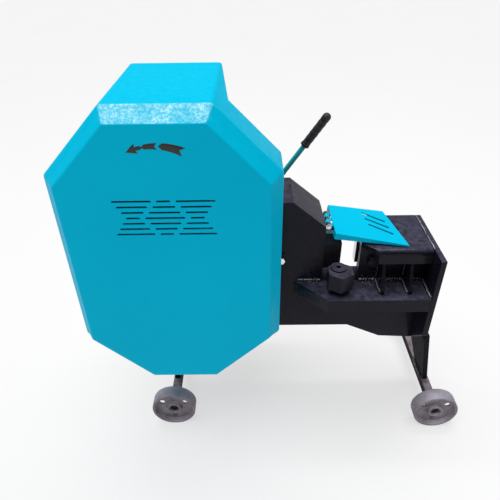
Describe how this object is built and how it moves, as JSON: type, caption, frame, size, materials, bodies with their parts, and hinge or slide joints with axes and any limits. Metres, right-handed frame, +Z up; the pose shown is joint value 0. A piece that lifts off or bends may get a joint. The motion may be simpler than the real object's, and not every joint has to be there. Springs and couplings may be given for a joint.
{
  "type": "rebar cutter",
  "caption": "Wheeled electric bar shear: belt-driven flywheel in a tall eight-sided guard, gear case, dog clutch lever, crank-driven ram and blades in an open throat.",
  "frame": {"origin": "centre of the bounding box, on the floor under the wheels", "axes": "+X from the guard towards the jaws, -Y towards the guard's face and the work table, +Z up"},
  "size_m": [1.004, 0.48, 0.982],
  "materials": {
    "body_black": "thick gloss black enamel",
    "guard_teal": "semi-gloss turquoise enamel",
    "cover_cyan": "semi-gloss bright turquoise enamel",
    "lever_teal": "worn turquoise enamel",
    "motor_grey": "satin grey-green enamel",
    "wheel_iron": "raw casting, dull",
    "dark_iron": "oiled dark casting",
    "steel": "turned or ground",
    "bright_zinc": "zinc plated",
    "blade_steel": "ground tool steel",
    "bronze": "machined bronze",
    "black_plastic": "moulded",
    "black_rubber": "matt moulded rubber"
  },
  "bodies": {
    "frame": {"near_side_plate": "body_black", "far_side_plate": "body_black", "roof_plate": "body_black", "belly_plate": "body_black", "ram_guide": "body_black", "ram_liners": "bronze", "jaw_block": "body_black", "jaw_cap": "body_black", "table_ribs": "body_black", "end_plate": "body_black", "work_table": "body_black", "front_leg": "body_black", "rear_leg": "body_black", "front_axle": "steel", "rear_axle": "steel", "wheel_fixings": "steel", "hex_bolts": "bright_zinc", "crank_bushes": "bronze", "fixed_blade": "blade_steel", "fixed_blade_bolt": "body_black", "shaft_bearings": "steel", "v_belts": "black_rubber", "motor_housing": "motor_grey", "motor_fan_cover": "motor_grey", "terminal_box": "motor_grey", "cable_gland": "black_plastic", "motor_base": "body_black", "gear_case": "body_black", "gear_case_cover": "body_black", "guard_cover": "guard_teal", "guard_stays": "body_black", "cover_hinge": "bright_zinc"},
    "flywheel_set": {"flywheel": "dark_iron", "input_shaft": "steel", "input_pinion": "steel"},
    "motor_rotor_set": {"motor_rotor": "steel", "motor_pulley": "dark_iron", "motor_fan": "black_plastic"},
    "layshaft_set": {"layshaft": "steel", "layshaft_gear": "steel"},
    "bull_gear_set": {"bull_gear": "steel", "bull_gear_bush": "bronze"},
    "crankshaft_set": {"crankshaft": "steel", "shaft_ring": "steel"},
    "conrod_set": {"conrod": "dark_iron", "conrod_bush": "bronze", "wrist_pin": "steel"},
    "ram_set": {"ram": "dark_iron", "moving_blade": "blade_steel", "moving_blade_bolt": "steel"},
    "sleeve": {"clutch_sleeve": "steel"},
    "lever_set": {"clutch_lever": "lever_teal", "shift_fork": "dark_iron", "lever_grip": "black_rubber"},
    "cover": {"safety_cover": "cover_cyan"},
    "stop": {"stop_block": "body_black"},
    "wheel_fn": {"wheel_front_near": "wheel_iron"},
    "wheel_ff": {"wheel_front_far": "wheel_iron"},
    "wheel_rn": {"wheel_rear_near": "wheel_iron"},
    "wheel_rf": {"wheel_rear_far": "wheel_iron"}
  },
  "joints": [
    {"name": "flywheel_turn", "type": "hinge", "parent": "frame", "child": "flywheel_set", "pos_m": [-0.2645, 0, 0.5], "axis": [0, 1, 0], "continuous": true},
    {"name": "motor_turn", "type": "hinge", "parent": "frame", "child": "motor_rotor_set", "pos_m": [-0.2645, 0, 0.84], "axis": [0, 1, 0], "continuous": true},
    {"name": "layshaft_turn", "type": "hinge", "parent": "frame", "child": "layshaft_set", "pos_m": [-0.16962, 0, 0.41709], "axis": [0, 1, 0], "continuous": true},
    {"name": "bull_gear_turn", "type": "hinge", "parent": "frame", "child": "bull_gear_set", "pos_m": [-0.12, 0, 0.548], "axis": [0, 1, 0], "continuous": true},
    {"name": "crank_turn", "type": "hinge", "parent": "frame", "child": "crankshaft_set", "pos_m": [-0.12, 0, 0.548], "axis": [0, 1, 0], "range_deg": [0, 180]},
    {"name": "conrod_swing", "type": "hinge", "parent": "crankshaft_set", "child": "conrod_set", "pos_m": [-0.137, 0, 0.548], "axis": [0, 1, 0], "range_deg": [-180, 0]},
    {"name": "ram_slide", "type": "slide", "parent": "frame", "child": "ram_set", "axis": [1, 0, 0], "range_m": [0, 0.034]},
    {"name": "clutch_slide", "type": "slide", "parent": "crankshaft_set", "child": "sleeve", "axis": [0, -1, 0], "range_m": [0, 0.011]},
    {"name": "clutch_lever_turn", "type": "hinge", "parent": "frame", "child": "lever_set", "pos_m": [-0.058, 0.162, 0.69], "axis": [0, 0, 1], "range_deg": [0, 10.2]},
    {"name": "safety_cover_open", "type": "hinge", "parent": "frame", "child": "cover", "pos_m": [0.098, 0, 0.628], "axis": [0, -1, 0], "range_deg": [0, 100]},
    {"name": "stop_block_turn", "type": "hinge", "parent": "frame", "child": "stop", "pos_m": [0.119, -0.125, 0.486], "axis": [0, 0, 1], "continuous": true},
    {"name": "wheel_fn_roll", "type": "hinge", "parent": "frame", "child": "wheel_fn", "pos_m": [0.439, -0.167, 0.063], "axis": [0, 1, 0], "continuous": true},
    {"name": "wheel_ff_roll", "type": "hinge", "parent": "frame", "child": "wheel_ff", "pos_m": [0.439, 0.221, 0.063], "axis": [0, 1, 0], "continuous": true},
    {"name": "wheel_rn_roll", "type": "hinge", "parent": "frame", "child": "wheel_rn", "pos_m": [-0.328, -0.149, 0.063], "axis": [0, 1, 0], "continuous": true},
    {"name": "wheel_rf_roll", "type": "hinge", "parent": "frame", "child": "wheel_rf", "pos_m": [-0.328, 0.221, 0.063], "axis": [0, 1, 0], "continuous": true}
  ],
  "couplings": [
    {"joint": "motor_turn", "follows": "flywheel_turn", "ratio": 3.8},
    {"joint": "layshaft_turn", "follows": "flywheel_turn", "ratio": -0.3125},
    {"joint": "bull_gear_turn", "follows": "flywheel_turn", "ratio": 0.10417},
    {"joint": "conrod_swing", "follows": "crank_turn", "ratio": -1},
    {"joint": "ram_slide", "follows": "crank_turn", "m_per_rad": 0.010822},
    {"joint": "clutch_slide", "follows": "clutch_lever_turn", "m_per_rad": 0.0617}
  ]
}
